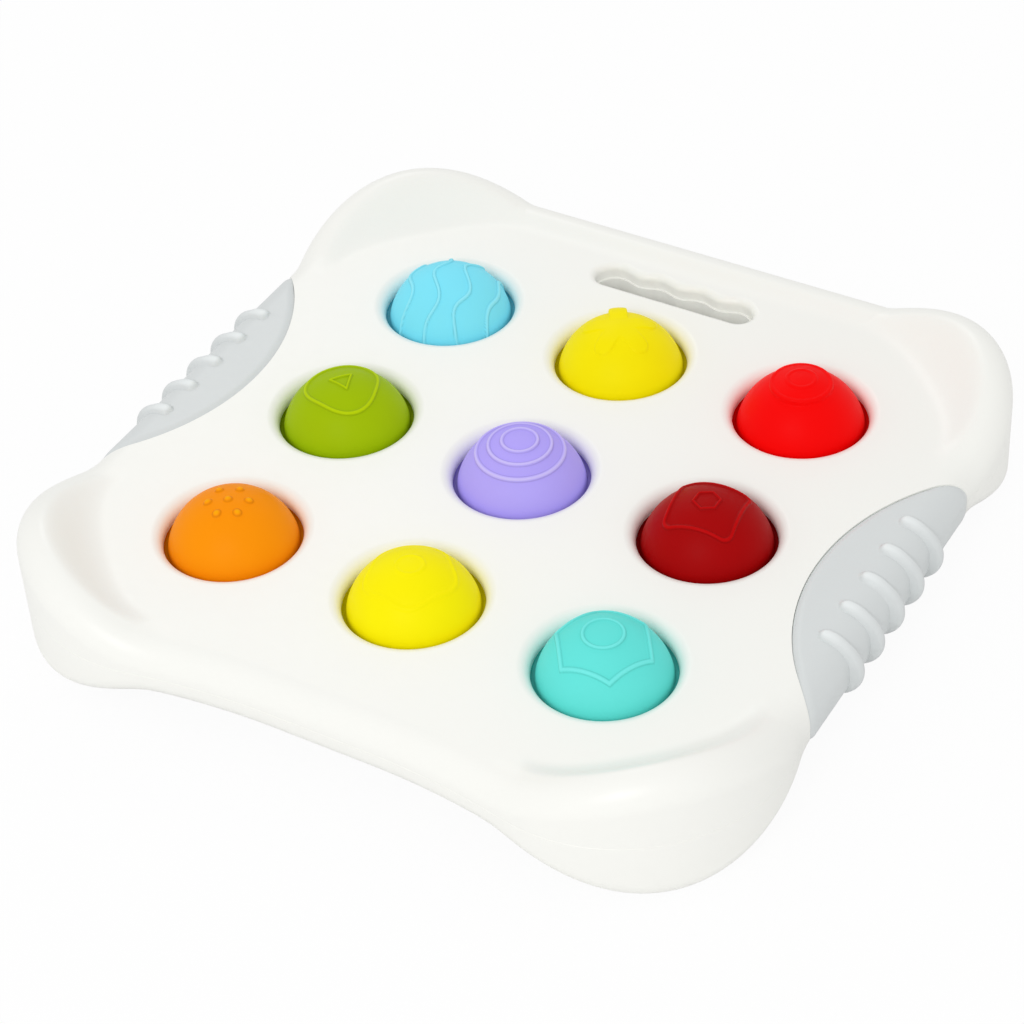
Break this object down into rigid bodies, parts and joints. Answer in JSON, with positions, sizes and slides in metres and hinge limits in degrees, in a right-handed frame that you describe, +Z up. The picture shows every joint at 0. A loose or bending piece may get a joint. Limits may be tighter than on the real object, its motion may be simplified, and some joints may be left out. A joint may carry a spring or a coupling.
{
  "type": "busy board",
  "caption": "Square busy board with raised round corners, push-through silicone domes with raised patterns, ribbed soft side grips and a carrying slot with finger waves.",
  "frame": {"origin": "centre of the bounding box, in the plane of the table under the feet", "axes": "+X towards the right grip, +Y towards the carrying slot, +Z up"},
  "size_m": [0.271, 0.2668, 0.0479],
  "materials": {
    "shell": "satin",
    "grip": "matte",
    "screw": "satin",
    "blue_silicone": "satin",
    "lemon_silicone": "satin",
    "red_silicone": "satin",
    "green_silicone": "satin",
    "purple_silicone": "satin",
    "maroon_silicone": "satin",
    "orange_silicone": "satin",
    "yellow_silicone": "satin",
    "teal_silicone": "satin"
  },
  "bodies": {
    "board": {"top_shell": "shell", "bottom_shell": "shell", "left_grip": "grip", "right_grip": "grip", "case_screws": "screw", "blue_skirt": "blue_silicone", "lemon_skirt": "lemon_silicone", "red_skirt": "red_silicone", "green_skirt": "green_silicone", "purple_skirt": "purple_silicone", "maroon_skirt": "maroon_silicone", "orange_skirt": "orange_silicone", "yellow_skirt": "yellow_silicone", "teal_skirt": "teal_silicone"},
    "blue_button": {"blue_crown": "blue_silicone"},
    "lemon_button": {"lemon_crown": "lemon_silicone"},
    "red_button": {"red_crown": "red_silicone"},
    "green_button": {"green_crown": "green_silicone"},
    "purple_button": {"purple_crown": "purple_silicone"},
    "maroon_button": {"maroon_crown": "maroon_silicone"},
    "orange_button": {"orange_crown": "orange_silicone"},
    "yellow_button": {"yellow_crown": "yellow_silicone"},
    "teal_button": {"teal_crown": "teal_silicone"}
  },
  "joints": [
    {"name": "blue_pop", "type": "slide", "parent": "board", "child": "blue_button", "axis": [0, 0, -1], "range_m": [0, 0.03], "deforming": ["blue_skirt"]},
    {"name": "lemon_pop", "type": "slide", "parent": "board", "child": "lemon_button", "axis": [0, 0, -1], "range_m": [0, 0.03], "deforming": ["lemon_skirt"]},
    {"name": "red_pop", "type": "slide", "parent": "board", "child": "red_button", "axis": [0, 0, -1], "range_m": [0, 0.03], "deforming": ["red_skirt"]},
    {"name": "green_pop", "type": "slide", "parent": "board", "child": "green_button", "axis": [0, 0, -1], "range_m": [0, 0.03], "deforming": ["green_skirt"]},
    {"name": "purple_pop", "type": "slide", "parent": "board", "child": "purple_button", "axis": [0, 0, -1], "range_m": [0, 0.03], "deforming": ["purple_skirt"]},
    {"name": "maroon_pop", "type": "slide", "parent": "board", "child": "maroon_button", "axis": [0, 0, -1], "range_m": [0, 0.03], "deforming": ["maroon_skirt"]},
    {"name": "orange_pop", "type": "slide", "parent": "board", "child": "orange_button", "axis": [0, 0, -1], "range_m": [0, 0.03], "deforming": ["orange_skirt"]},
    {"name": "yellow_pop", "type": "slide", "parent": "board", "child": "yellow_button", "axis": [0, 0, -1], "range_m": [0, 0.03], "deforming": ["yellow_skirt"]},
    {"name": "teal_pop", "type": "slide", "parent": "board", "child": "teal_button", "axis": [0, 0, -1], "range_m": [0, 0.03], "deforming": ["teal_skirt"]}
  ]
}
